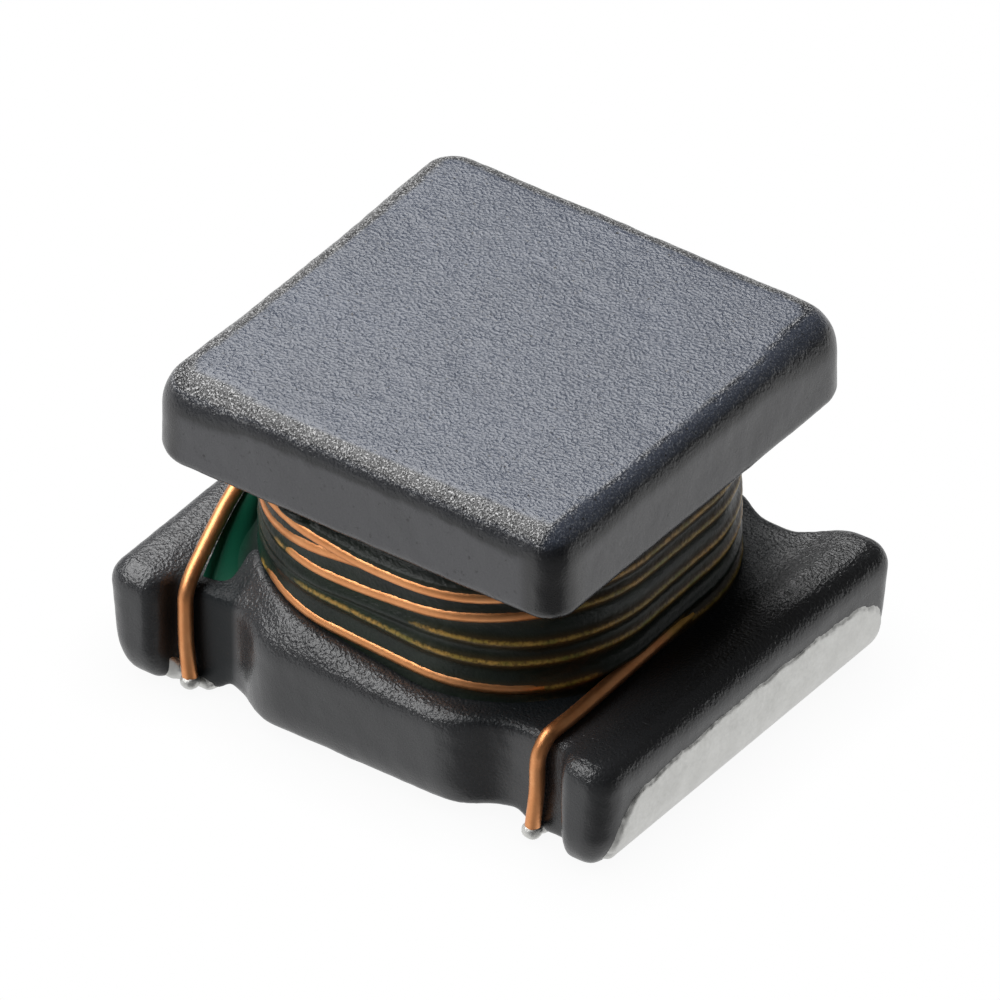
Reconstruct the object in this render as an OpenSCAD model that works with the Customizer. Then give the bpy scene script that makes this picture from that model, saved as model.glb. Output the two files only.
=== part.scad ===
// Wire-wound chip inductor with an open winding on a one-piece ferrite drum core.
// Square top plate, rounded-square post, notched base flange, two soldered end
// terminals, one layer of copper wire with a crossing turn, leads in the notches.
// Millimetres, +Z up. Origin at the middle of the footprint, on the solder plane.

/* [Top plate] */
// Edge length of the square top plate
plate_size = 2.5; // [2.44:0.02:2.6]
// Overall height above the solder plane
total_height = 1.97; // [1.95:0.01:2.1]
// Thickness of the top plate
plate_thick = 0.505; // [0.46:0.005:0.52]
// Corner radius of the plate seen from above
plate_corner = 0.235; // [0.21:0.005:0.4]
// Width of the rounding along the upper plate edge
plate_round_wide = 0.195; // [0.1:0.005:0.2]
// Drop of the rounding along the upper plate edge
plate_round_drop = 0.243; // [0.1:0.001:0.3]
// Rounding of the lower plate edge
plate_under_round = 0.06; // [0.02:0.005:0.1]

/* [Base flange] */
// Length of the base flange at its widest height
base_length = 3.07; // [3.0:0.01:3.2]
// Width of the base flange
base_width = 2.46; // [2.44:0.01:2.5]
// Height of the deck round the winding
deck_height = 0.62; // [0.6:0.005:0.63]
// Height of the raised rim at each end
rim_height = 0.665; // [0.64:0.005:0.7]
// Rounding of the rim towards the end face
rim_round = 0.11; // [0.08:0.005:0.14]
// Rounding of the rim towards the long faces
rim_side_round = 0.15; // [0.08:0.005:0.16]
// Distance from the end face to the foot of the rim
rim_reach = 0.3; // [0.26:0.01:0.32]
// Inward draft of the end face, degrees from vertical
end_draft = 5.6; // [3:0.1:7]
// Width of the rounding under the end face
end_round_wide = 0.17; // [0.1:0.005:0.2]
// Height of the rounding under the end and long faces
low_round_high = 0.25; // [0.15:0.005:0.26]
// Width of the rounding under the long faces
side_round_wide = 0.15; // [0.1:0.005:0.16]
// Rounding of the upper edge along the long faces
deck_edge_round = 0.09; // [0.05:0.005:0.12]
// Rise of the underside between the two feet
recess_rise = 0.115; // [0.04:0.005:0.12]
// Half length of the raised underside
recess_half = 0.87; // [0.8:0.01:0.9]
// Length of the slope from the raised underside to a foot
recess_slope = 0.1; // [0.06:0.01:0.12]

/* [Lead notches] */
// Half width of the flat front of the middle lobe
lobe_half = 0.57; // [0.5:0.01:0.6]
// Distance from the middle to the inner end of a notch
notch_inner = 0.81; // [0.76:0.01:0.84]
// Distance from the middle to the outer end of a notch at its back wall
notch_outer = 1.18; // [1.17:0.01:1.2]
// Sideways flare of the outer notch wall towards its mouth
notch_flare = 0.06; // [0.02:0.01:0.08]
// Rounding under the back wall of a notch
notch_low_round = 0.05; // [0.03:0.005:0.07]
// Depth of a notch
notch_depth = 0.165; // [0.16:0.005:0.175]

/* [Winding] */
// Diameter of the copper wire
wire_dia = 0.08; // [0.07:0.002:0.084]
// Share of the room between deck and plate that the rise of the turns takes
turn_fill = 0.949; // [0.93:0.001:0.955]
// Half width of the rounded-square turn, to the middle of the wire
turn_half = 1.045; // [1.03:0.005:1.06]
// Corner radius of the rounded-square turn, to the middle of the wire
turn_corner = 0.79; // [0.7:0.01:0.82]
// Whole turns from the upper lead to the lower lead
turn_count = 6; // [6:1:6]
// Extra radius of the uppermost turn, which crosses over the one below it
outer_step = 0.086; // [0.084:0.001:0.09]
// Drop of the uppermost turn below the plate at the front
outer_turn_drop = 0.15; // [0.135:0.005:0.165]
// Dip of the second turn where the uppermost turn crosses it, as a share of the gap between turns
cross_share = 1.22; // [0.8:0.02:1.3]
// Distance from the middle to the left lead inside its notch
lead_left_at = 1.096; // [1.08:0.002:1.11]
// Distance from the middle to the right lead inside its notch
lead_right_at = 1.035; // [1.02:0.005:1.06]
// Sides of the wire section
wire_sides = 8; // [8:1:10]

/* [Terminals and coating] */
// Thickness of the metal layer of a terminal
metal_thick = 0.02; // [0.015:0.001:0.03]
// Height of the metal layer on the end face
metal_height = 0.437; // [0.36:0.001:0.46]
// Half width of the metal layer on the end face
metal_half = 1.13; // [1.1:0.01:1.15]
// Radius of the upper corners of the metal layer
metal_corner = 0.26; // [0.2:0.01:0.3]
// Height of the metal layer on the back wall of a notch
metal_notch_height = 0.075; // [0.06:0.005:0.08]
// Radius of the solder bead at a lead end
solder_radius = 0.054; // [0.05:0.002:0.06]
// Thickness of the varnish layer between post and wire
varnish_thick = 0.02; // [0.015:0.001:0.03]
// Thickness of the varnish web under the left lead
web_thick = 0.2; // [0.1:0.01:0.2]

/* [Hidden] */
wire_r = wire_dia / 2;
plate_under = total_height - plate_thick;
half_l = base_length / 2;
half_w = base_width / 2;
wide_z = rim_height - rim_round;
notch_y = half_w - notch_depth;
post_half = turn_half - wire_r - varnish_thick;
post_corner = turn_corner - wire_r - varnish_thick;
last_z = deck_height + wire_r;
turn_pitch = turn_fill * (plate_under - deck_height - wire_dia) / turn_count;
outer_turn_height = plate_under - outer_turn_drop;
cross_dip = cross_share * (turn_pitch - wire_dia);
first_s = 0.04;
last_s = turn_count + 0.5 - first_s;
arc_steps = 8;
cut = 0.5;

// ---------- outline helpers ----------
function unit(v) = v / norm(v);
function mix(a, b, t) = a + (b - a) * t;
function ease(x, a, b) = let (t = min(1, max(0, (x - a) / (b - a)))) t * t * (3 - 2 * t);
function arc(cx, cy, rx, ry, a0, a1, n) =
    [for (i = [0:n]) let (a = a0 + (a1 - a0) * i / n) [cx + rx * cos(a), cy + ry * sin(a)]];
function corner(a, b, c, r, n) =
    let (u = unit(a - b), w = unit(c - b), h = acos(u * w) / 2,
         m = b + unit(u + w) * r / sin(h),
         p = b + u * r / tan(h), q = b + w * r / tan(h),
         s = atan2(p[1] - m[1], p[0] - m[0]), e = atan2(q[1] - m[1], q[0] - m[0]),
         d = ((e - s + 540) % 360) - 180)
    [for (i = [0:n]) m + r * [cos(s + d * i / n), sin(s + d * i / n)]];
function flip_x(l) = [for (i = [len(l) - 1:-1:0]) [-l[i][0], l[i][1]]];
function flip_y(l) = [for (i = [len(l) - 1:-1:0]) [l[i][0], -l[i][1]]];
function join(l) = [for (a = l) for (b = a) b];

module rounded_square(half, r) {
    union() {
        square([2 * half, 2 * (half - r)], center = true);
        square([2 * (half - r), 2 * half], center = true);
        for (x = [-1, 1], y = [-1, 1]) translate([x * (half - r), y * (half - r)]) circle(r = r, $fn = 48);
    }
}

// ---------- top plate ----------
function plate_edge(x) = join([
    [[0, plate_under]],
    arc(x - plate_under_round, plate_under + plate_under_round, plate_under_round, plate_under_round, -90, 0, 3),
    arc(x - plate_round_wide, total_height - plate_round_drop, plate_round_wide, plate_round_drop, 0, 90, 7),
    [[0, total_height]]]);
function plate_section(x) = let (e = plate_edge(x)) join([
    [for (i = [1:len(e) - 2]) e[i]],
    flip_x([for (i = [1:len(e) - 2]) e[i]])]);

module top_plate() {
    h = plate_size / 2;
    m = h - plate_corner;
    union() {
        rotate([90, 0, 0]) linear_extrude(height = 2 * m, center = true) polygon(plate_section(h));
        rotate([90, 0, 90]) linear_extrude(height = 2 * m, center = true) polygon(plate_section(h));
        for (x = [-1, 1], y = [-1, 1]) translate([x * m, y * m, 0])
            rotate_extrude($fn = 32) polygon(plate_edge(plate_corner));
    }
}

// ---------- base flange ----------
// Side outline of the flange; g grows it outwards and downwards.
function end_x(z) = half_l - tan(end_draft) * (wide_z - z);
function flange_half(g) = let (low = metal_thick - g) join([
    [[0, low + recess_rise]],
    [[recess_half, low + recess_rise], [recess_half + recess_slope, low],
     [half_l + cut, low], [half_l + cut, rim_height],
     [half_l - rim_round, rim_height],
     [half_l - rim_reach + 0.06, mix(deck_height, rim_height, 0.62)],
     [half_l - rim_reach, mix(deck_height, rim_height, 0.2)],
     [half_l - rim_reach - 0.1, deck_height],
     [0, deck_height]]]);
module flange_side(g) {
    p = flange_half(g);
    rotate([90, 0, 0]) linear_extrude(height = base_width + 2 * cut, center = true)
        polygon(join([[for (i = [1:len(p) - 2]) p[i]], flip_x([for (i = [1:len(p) - 2]) p[i]])]));
}

// Plan outline with the two lead notches on each long side.
function plan_quarter() = let (
    a = [lobe_half, -half_w], b = [notch_inner, -notch_y], c = [notch_outer, -notch_y],
    d = [notch_outer + notch_flare, -half_w], e = [half_l + cut, -half_w])
    join([
        corner([0, -half_w], a, b, 0.14, 4), corner(a, b, c, 0.07, 3),
        corner(b, c, d, 0.05, 3), corner(c, d, e, 0.05, 3)]);
module flange_plan() {
    q = plan_quarter();
    lower = join([flip_x(q), q]);
    linear_extrude(height = 2) polygon(join([
        [[-half_l - cut, -half_w]], lower, [[half_l + cut, -half_w]],
        [[half_l + cut, half_w]], flip_y(lower), [[-half_l - cut, half_w]]]));
}

// Cross outline between x0 and x1 on both ends, w half width, upper rounding r,
// lower rounding low_w wide and low_h high; g grows the lower edge.
module flange_cross(x0, x1, w, r, low_w, low_h, g) {
    p = join([
        arc(w - low_w, metal_thick + low_h, low_w + g, low_h + g, -90, 0, 6),
        arc(w - r, deck_height - r, r, r, 0, 90, 5)]);
    for (s = x0 == 0 ? [0] : [-1, 1])
        translate([s * (x0 + x1) / 2, 0, 0]) rotate([90, 0, 90])
            linear_extrude(height = x0 == 0 ? 2 * x1 : x1 - x0, center = true)
                polygon(join([p, flip_x(p)]));
}

// Rounded and drafted envelope of the flange; g grows the end faces and the underside.
// One level: height z, corner centre [cx, cy], corner half axes ra and rb.
function level_ring(z, cx, cy, ra, rb, n) = [for (q = [0:3]) for (i = [0:n])
    let (a = 90 * (q + i / n), sx = q == 0 || q == 3 ? 1 : -1, sy = q < 2 ? 1 : -1)
    [sx * cx + ra * cos(a), sy * cy + rb * sin(a), z]];
module flange_envelope(g) {
    n = 4;
    m = 4 * (n + 1);
    low = low_round_high;
    low_x = end_x(low) - end_round_wide - metal_thick;
    low_y = half_w - side_round_wide;
    top_x = half_l - rim_round;
    top_y = half_w - rim_side_round;
    low_turns = [80, 62, 44, 29, 14, 0];
    top_turns = [0, 18, 36, 54, 80];
    rings = concat(
        [for (t = low_turns) level_ring(
            t == 80 ? metal_thick - g : low - (low - metal_thick + g) * sin(t),
            low_x, low_y, (end_round_wide + g) * cos(t), side_round_wide * cos(t), n)],
        [for (t = top_turns) level_ring(
            t == 80 ? rim_height : wide_z + rim_round * sin(t),
            top_x, top_y, (rim_round + g) * cos(t), rim_side_round * cos(t), n)]);
    count = len(rings);
    sides = [for (i = [0:count - 2]) for (k = [0:m - 1]) for (h = [0, 1])
        let (a = i * m + k, b = i * m + (k + 1) % m, c = a + m, d = b + m)
        h == 0 ? [a, c, b] : [b, c, d]];
    polyhedron(points = join(rings), faces = concat(
        [[for (k = [0:m - 1]) k]], sides, [[for (k = [m - 1:-1:0]) (count - 1) * m + k]]), convexity = 4);
}
module flange() {
    intersection() {
        flange_side(0);
        flange_plan();
        union() {
            flange_cross(0, notch_inner, half_w, deck_edge_round, side_round_wide, low_round_high - metal_thick, 0);
            flange_cross(notch_inner, notch_outer + 0.03, notch_y, 0.05, notch_low_round, notch_low_round, 0);
            intersection() {
                flange_envelope(0);
                for (s = [-1, 1]) translate([s * (notch_outer + 1), 0, 0]) cube([2, 4, 4], center = true);
            }
        }
    }
}

module core() {
    color([0.27, 0.28, 0.31]) union() {
        flange();
        translate([0, 0, deck_height / 2])
            linear_extrude(height = plate_under + 0.05 - deck_height / 2)
                rounded_square(post_half, post_corner);
        top_plate();
    }
}

// ---------- terminals ----------
module terminal(s) {
    inner_x = recess_half + recess_slope;
    color([0.78, 0.78, 0.76]) difference() {
        intersection() {
            union() {
                intersection() {
                    flange_envelope(metal_thick);
                    translate([s * (notch_outer + 1), 0, 0]) cube([2, 4, 4], center = true);
                }
                intersection() {
                    flange_cross(inner_x, notch_outer + 0.03, notch_y, 0.05, notch_low_round, notch_low_round,
                        metal_thick);
                    translate([s * 2, 0, metal_notch_height / 2]) cube([4, 4, metal_notch_height], center = true);
                }
            }
            rotate([90, 0, 90]) linear_extrude(height = 4, center = true) union() {
                translate([0, (metal_height - metal_corner) / 2])
                    square([2 * metal_half, metal_height - metal_corner], center = true);
                translate([0, metal_height / 2])
                    square([2 * (metal_half - metal_corner), metal_height], center = true);
                for (y = [-1, 1]) translate([y * (metal_half - metal_corner), metal_height - metal_corner])
                    circle(r = metal_corner, $fn = 48);
            }
        }
        flange_envelope(0);
        flange_cross(0, notch_outer + 0.03, notch_y, 0.05, notch_low_round, notch_low_round, 0);
    }
}
module terminal_left() { terminal(-1); }
module terminal_right() { terminal(1); }

// ---------- winding ----------
// One side of the rounded-square turn: t runs 0..1 from side middle to side middle.
turn_straight = turn_half - turn_corner;
turn_arc = turn_corner * PI / 2;
turn_side = 2 * turn_straight + turn_arc;
function side_point(t) = let (d = t * turn_side)
    d < turn_straight ? [-turn_half, d, 180] :
    d > turn_straight + turn_arc ? [d - turn_straight - turn_arc - turn_straight, turn_half, 90] :
    let (a = 180 - (d - turn_straight) / turn_arc * 90)
    [-turn_straight + turn_corner * cos(a), turn_straight + turn_corner * sin(a), a];
// Height and extra radius along the turns, s counted in turns from the upper lead.
function level(s) = last_z + turn_pitch * (last_s - s);
function inner_z(s) = level(s) + outer_turn_drop / 2 * (1 - ease(s, 1, 1.3))
    - cross_dip * (ease(s, 1.7, 1.9) - ease(s, 2.05, 2.35))
    - 0.3 * cross_dip * (ease(s, 2.7, 2.9) - ease(s, 3.05, 3.3));
function outer_z(s) = outer_turn_height + 0.045 + 0.04 * ease(s, 0.04, 0.4) - 0.085 * ease(s, 0.45, 0.7);
function wire_z(s) = mix(outer_z(s), inner_z(s), ease(s, 0.8, 1));
function wire_step(s) = outer_step * (1 - ease(s, 0.18, 0.4) + ease(s, 0.52, 0.68) - ease(s, 0.8, 1));
function wire_point(s) = let (
    k = floor(s * 4), p = side_point(s * 4 - k), a = -90 * k,
    o = wire_step(s), n = p[2] + a,
    x = p[0] * cos(a) - p[1] * sin(a), y = p[0] * sin(a) + p[1] * cos(a))
    [[x + o * cos(n), y + o * sin(n), wire_z(s)], [cos(n), sin(n), 0]];
function turn_marks() = let (
    f = turn_straight / turn_side,
    one = join([[0], [for (i = [0:arc_steps]) f + (1 - 2 * f) * i / arc_steps]]))
    [for (k = [0:4 * turn_count + 2]) for (t = one) let (s = (k + t) / 4)
        if (s > first_s + 0.01 && s < last_s - 0.01) s];
coil_s = join([[first_s], turn_marks(), [last_s]]);
coil = [for (s = coil_s) wire_point(s)];

// Smooth curve through the lead points.
function curve(a, b, c, d, t) = 0.5 * ((2 * b) + (c - a) * t + (2 * a - 5 * b + 4 * c - d) * t * t
    + (3 * b - a - 3 * c + d) * t * t * t);
function lead_curve(p, n) = [for (i = [1:len(p) - 3]) for (j = [0:n - 1]) curve(p[i - 1], p[i], p[i + 1], p[i + 2], j / n)];

left_x = turn_half + outer_step + 0.012;
lead_y = notch_y + wire_r + 0.012;
left_top = coil[0][0];
function lead_z(t) = mix(deck_height, left_top[2], t);
left_points = [
    [-turn_half - outer_step, 0.5, left_top[2] - 0.005],
    left_top,
    [-left_x, 0, lead_z(0.851)], [-left_x, -0.33, lead_z(0.628)], [-left_x, -0.66, lead_z(0.399)],
    [-left_x + 0.012, -0.82, lead_z(0.27)], [-left_x + 0.028, -0.96, lead_z(0.155)],
    [-lead_left_at - 0.008, -notch_y + 0.01, deck_height + 0.05],
    [-lead_left_at, -lead_y + 0.006, deck_height - 0.025],
    [-lead_left_at, -lead_y, deck_height - 0.12],
    [-lead_left_at + 0.004, -lead_y, 0.3], [-lead_left_at + 0.026, -lead_y, 0.09],
    [-lead_left_at + 0.035, -lead_y, 0]];
right_end = coil[len(coil) - 1][0];
right_points = [
    [turn_half, 0.5, right_end[2] + 0.003], right_end,
    [turn_half + 0.018, -0.3, last_z], [turn_half + 0.032, -0.8, last_z],
    [turn_half + 0.03, -0.985, last_z],
    [lead_right_at + 0.028, -notch_y, deck_height + 0.022],
    [lead_right_at + 0.013, -lead_y + 0.004, deck_height - 0.05],
    [lead_right_at, -lead_y, deck_height - 0.14],
    [lead_right_at - 0.004, -lead_y, 0.32], [lead_right_at - 0.03, -lead_y, 0.085],
    [lead_right_at - 0.038, -lead_y, 0]];
left_lead = [for (p = lead_curve(left_points, 3)) [p, [-1, 0, 0]]];
right_lead = [for (p = lead_curve(right_points, 3)) [p, [1, 0, 0]]];
left_tip = left_points[len(left_points) - 2];
right_tip = right_points[len(right_points) - 2];
wire_path = join([
    [[left_tip, [-1, 0, 0]]], [for (i = [len(left_lead) - 1:-1:1]) left_lead[i]],
    coil,
    [for (i = [1:len(right_lead) - 1]) right_lead[i]], [[right_tip, [1, 0, 0]]]]);
function wire_ring(i) = let (
    n = len(wire_path) - 1,
    t = unit(wire_path[min(n, i + 1)][0] - wire_path[max(0, i - 1)][0]),
    r = wire_path[i][1], u = unit(r - (r * t) * t), w = cross(t, u))
    [for (k = [0:wire_sides - 1]) let (a = 360 * k / wire_sides)
        wire_path[i][0] + wire_r * (cos(a) * u + sin(a) * w)];

module winding() {
    n = len(wire_path);
    m = wire_sides;
    points = join([for (i = [0:n - 1]) wire_ring(i)]);
    sides = [for (i = [0:n - 2]) for (k = [0:m - 1]) for (h = [0, 1])
        let (a = i * m + k, b = i * m + (k + 1) % m, c = a + m, d = b + m)
        h == 0 ? [a, b, c] : [b, d, c]];
    start = [for (k = [1:m - 2]) [0, k + 1, k]];
    end = [for (k = [1:m - 2]) let (o = (n - 1) * m) [o, o + k, o + k + 1]];
    color([0.80, 0.48, 0.26]) polyhedron(points = points, faces = join([start, sides, end]), convexity = 10);
}

// ---------- solder beads ----------
module solder(tip) {
    color([0.86, 0.86, 0.84]) intersection() {
        translate([tip[0], tip[1], tip[2] - 0.012]) sphere(r = solder_radius, $fn = 32);
        translate([tip[0], -notch_y - metal_thick - 0.5, 0.5]) cube([1, 1, 1], center = true);
    }
}
module solder_left() { solder(left_tip); }
module solder_right() { solder(right_tip); }

// ---------- varnish ----------
module varnish() {
    low = deck_height;
    color([0.05, 0.32, 0.22]) union() {
        difference() {
            translate([0, 0, low]) linear_extrude(height = plate_under - low)
                rounded_square(post_half + varnish_thick, post_corner + varnish_thick);
            linear_extrude(height = 2) rounded_square(post_half, post_corner);
        }
        difference() {
            union() {
                // resin that ran out under the lowest turn at the left front corner
                translate([-left_x + wire_r, -0.95, low]) cube([0.5, 0.5, 0.06]);
                // web between the winding and the left lead
                translate([-left_x + wire_r, 0, 0]) rotate([90, 0, 90]) linear_extrude(height = web_thick)
                    polygon([[-0.97, low], [-0.5, low], [-0.5, lead_z(0.419)], [-0.66, lead_z(0.338)]]);
            }
            linear_extrude(height = low + 0.07) rounded_square(post_half + 0.005, post_corner);
            translate([0, 0, low + 0.065]) linear_extrude(height = 2)
                rounded_square(turn_half + wire_r + 0.004, turn_corner + wire_r);
        }
    }
}

core();
terminal_left();
terminal_right();
winding();
solder_left();
solder_right();
varnish();
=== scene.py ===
import math

import bpy
import numpy as np
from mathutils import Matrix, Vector


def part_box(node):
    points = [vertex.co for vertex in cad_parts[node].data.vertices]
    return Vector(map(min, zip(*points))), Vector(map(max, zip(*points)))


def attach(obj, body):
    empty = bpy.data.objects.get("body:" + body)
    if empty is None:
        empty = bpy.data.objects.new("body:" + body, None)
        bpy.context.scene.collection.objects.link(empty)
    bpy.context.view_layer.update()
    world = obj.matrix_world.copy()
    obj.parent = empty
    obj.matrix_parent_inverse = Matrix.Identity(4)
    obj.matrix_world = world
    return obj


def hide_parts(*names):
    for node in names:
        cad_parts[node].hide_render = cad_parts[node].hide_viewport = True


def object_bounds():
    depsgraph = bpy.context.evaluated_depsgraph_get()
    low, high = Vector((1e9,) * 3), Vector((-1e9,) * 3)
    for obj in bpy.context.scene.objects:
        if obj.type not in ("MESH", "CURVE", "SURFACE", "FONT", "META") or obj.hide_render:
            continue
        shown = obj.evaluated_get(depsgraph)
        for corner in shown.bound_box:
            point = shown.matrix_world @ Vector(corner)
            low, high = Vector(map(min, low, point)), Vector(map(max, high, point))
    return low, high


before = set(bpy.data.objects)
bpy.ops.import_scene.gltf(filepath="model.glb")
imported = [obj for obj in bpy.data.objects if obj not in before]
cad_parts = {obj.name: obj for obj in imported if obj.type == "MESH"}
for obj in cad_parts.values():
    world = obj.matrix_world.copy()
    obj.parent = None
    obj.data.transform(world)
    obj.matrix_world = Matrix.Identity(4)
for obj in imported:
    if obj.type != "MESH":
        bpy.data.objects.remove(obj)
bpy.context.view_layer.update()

# Wire-wound chip inductor. Lengths are in millimetres; MM turns them into metres where a mesh is made.
MM = 0.001


def span(node):
    low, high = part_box(node)
    return np.array(low) / MM, np.array(high) / MM


# ---------------------------------------------------------------- sizes
core_low, core_high = span("core")
plate_top = core_high[2]
plate_half = core_high[1]
plate_thick = 0.505
plate_corner, plate_front_corner = 0.235, 0.165
plate_round, plate_corner_round = (0.13, 0.16), (0.195, 0.243)   # width and drop of the upper edge
plate_under_round = 0.06
plate_under = plate_top - plate_thick

half_l = core_high[0]
half_w = 1.23
deck = 0.62
rim = 0.665
rim_round = 0.12
rim_reach = 0.3
skirt_height, skirt_width = 0.12, 0.10               # ferrite climbing to the turns at the left of the front
end_draft = math.tan(math.radians(5.6))
end_under, side_under, under_high = 0.18, 0.15, 0.235   # rounding under the end and long faces
foot_z = 0.02
recess = (0.87, 0.97)                 # half length, outer end of the slope
recess_rise = (0.115, 0.066)          # in the middle, at the long edges

lobe_half = 0.57
notch_inner, notch_outer, notch_flare = 0.81, 1.18, 0.06
notch_back_flare = 0.2
notch_depth = 0.165
notch_y = half_w - notch_depth

wire_r = 0.04
post_gap = 0.02                       # resin between the turns and the post
turn_pitch = 0.121
turn_half, turn_corner = 1.045, 0.79
last_turn = 6.46
last_z = deck + wire_r
outer_step = 0.086
outer_turn_z = 1.315
cross_dip = 0.05
lead_y = notch_y + wire_r + 0.012
lead_left_at, lead_right_at = 1.096, 1.035

metal_height = 0.437
metal_half = 1.13
metal_corner = 0.26
metal_thick = 0.02
metal_swell = 0.04                    # how much higher the coat climbs in the middle of an end face
metal_spread = 0.025                  # how far the coat is let out past its plan
metal_feather = 0.07                  # width of its border, where it thins away
metal_sink = 0.01                     # how far the thinned border dips into the ferrite
metal_inner = 0.026                   # how far inside the ferrite the coat's back face lies
foot_span, right_notch_span = (1.095, 0.13), (0.997, 0.05)   # middle and half width of the coat along the length

core_cell, metal_cell, bead_cell = 0.0222, 0.0125, 0.005     # grid steps of the meshed fields
wire_sides = 20


# ---------------------------------------------------------------- mesh helpers
def ease(x, a, b):
    t = np.clip((x - a) / (b - a), 0, 1)
    return t * t * (3 - 2 * t)


def smooth_max(a, b, k):
    h = np.maximum(k - np.abs(a - b), 0) / k
    return np.maximum(a, b) + h * h * k / 4


def smooth_min(a, b, k):
    return -smooth_max(-a, -b, k)


def waves(p, scale, seed, octaves=3):
    """Smooth random field in about -1..1, a sum of turned sine products."""
    rng = np.random.default_rng(seed)
    total, gain = np.zeros(len(p)), 1.0
    for _ in range(octaves):
        turn = np.linalg.qr(rng.normal(size=(3, 3)))[0]
        q = (p @ turn) * scale + rng.uniform(0, 6.28, 3)
        total += gain * np.sin(q[:, 0] + 1.3 * np.sin(q[:, 1])) * np.sin(q[:, 1] + 1.1 * np.sin(q[:, 2]))
        scale, gain = scale * 1.9, gain * 0.5
    return total / 1.5


def mesh_object(name, verts, faces, attributes=None):
    """verts in millimetres; faces is a list of tuples or an (n, 4) array of quads."""
    mesh = bpy.data.meshes.new(name)
    verts = np.asarray(verts, float) * MM
    if isinstance(faces, np.ndarray):
        n, m = faces.shape
        mesh.vertices.add(len(verts))
        mesh.vertices.foreach_set("co", verts.ravel())
        mesh.loops.add(n * m)
        mesh.loops.foreach_set("vertex_index", faces.ravel().astype(np.int32))
        mesh.polygons.add(n)
        mesh.polygons.foreach_set("loop_start", np.arange(0, n * m, m, dtype=np.int32))
        mesh.update(calc_edges=True)
    else:
        mesh.from_pydata([tuple(v) for v in verts], [], faces)
    mesh.validate()
    mesh.shade_smooth()
    for key, values in (attributes or {}).items():
        layer = mesh.attributes.new(key, "FLOAT", "POINT")
        layer.data.foreach_set("value", np.asarray(values, np.float32))
    obj = bpy.data.objects.new(name, mesh)
    bpy.context.scene.collection.objects.link(obj)
    return obj


def grid_faces(rows, cols, wrap=False):
    r, c = np.meshgrid(np.arange(rows - 1), np.arange(cols if wrap else cols - 1), indexing="ij")
    d = (c + 1) % cols
    return np.stack([r * cols + c, r * cols + d, (r + 1) * cols + d, (r + 1) * cols + c], -1).reshape(-1, 4)


def slope_of(f, p, step=1e-3):
    out = np.empty_like(p)
    for axis in range(3):
        d = np.zeros(3)
        d[axis] = step
        out[:, axis] = (f(p + d) - f(p - d)) / (2 * step)
    return out


def skin(f, low, high, size):
    """Quads on the zero surface of f(points), which is negative inside.

    Each crossed cell gets one vertex, pulled onto the surface.
    """
    axes = [np.arange(a - 2 * size, b + 3 * size, size) for a, b in zip(low, high)]
    shape = tuple(len(a) for a in axes)
    grid = np.stack(np.meshgrid(*axes, indexing="ij"), -1)
    values = np.concatenate([f(part.reshape(-1, 3)) for part in np.array_split(grid, 16)]).reshape(shape)
    inside = values < 0
    corners = [(i, j, k) for i in (0, 1) for j in (0, 1) for k in (0, 1)]
    cells = tuple(n - 1 for n in shape)
    count = sum(inside[i:i + cells[0], j:j + cells[1], k:k + cells[2]].astype(np.int8) for i, j, k in corners)
    at = np.argwhere((count > 0) & (count < 8))
    index = -np.ones(cells, np.int64)
    index[tuple(at.T)] = np.arange(len(at))
    total, number = np.zeros((len(at), 3)), np.zeros(len(at))
    for a in corners:
        for axis in range(3):
            if a[axis]:
                continue
            b = tuple(v + (i == axis) for i, v in enumerate(a))
            va, vb = values[tuple((at + a).T)], values[tuple((at + b).T)]
            crossed = (va < 0) != (vb < 0)
            t = np.where(crossed, va / np.where(crossed, va - vb, 1), 0)
            p = (at + a).astype(float)
            p[:, axis] += t
            total += p * crossed[:, None]
            number += crossed
    verts = total / number[:, None] * size + [a[0] for a in axes]
    for _ in range(3):
        slope = slope_of(f, verts)
        step = f(verts)[:, None] * slope / np.maximum((slope ** 2).sum(1), 1e-6)[:, None]
        verts -= np.clip(step, -size / 3, size / 3)
    quads = []
    for axis in range(3):
        u, v = (axis + 1) % 3, (axis + 2) % 3
        first = [slice(None)] * 3
        second = [slice(None)] * 3
        first[axis], second[axis] = slice(0, -1), slice(1, None)
        a, b = inside[tuple(first)], inside[tuple(second)]
        edges = np.argwhere(a != b)
        clear_of_rim = [(edges[:, n] > 0) & (edges[:, n] < shape[n] - 1) for n in (u, v)]
        edges = edges[clear_of_rim[0] & clear_of_rim[1]]
        du, dv = np.eye(3, dtype=int)[u], np.eye(3, dtype=int)[v]
        ring = [index[tuple((edges - d).T)] for d in (du + dv, dv, 0 * du, du)]
        ring = np.stack(ring, -1)
        flip = ~a[tuple(edges.T)]
        ring[flip] = ring[flip][:, ::-1]
        quads.append(ring)
    return verts, np.concatenate(quads)


# ---------------------------------------------------------------- ferrite core
def box_plan(x, y, hx, hy, r):
    qx, qy = np.abs(x) - hx + r, np.abs(y) - hy + r
    return np.hypot(np.maximum(qx, 0), np.maximum(qy, 0)) + np.minimum(np.maximum(qx, qy), 0) - r


def rounded_edge(side, level, wide, high):
    """Joins a side distance and a level distance with an elliptical rounding."""
    u, w = side / wide + 1, level / high + 1
    bent = (np.hypot(u, w) - 1) * np.minimum(wide, high)
    return np.where((u > 0) & (w > 0), bent, np.maximum(side, level))


def plate_side(p):
    corner = np.where((p[:, 0] > 0) & (p[:, 1] < 0), plate_front_corner, plate_corner)
    return box_plan(p[:, 0], p[:, 1], plate_half, plate_half, corner)


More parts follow.
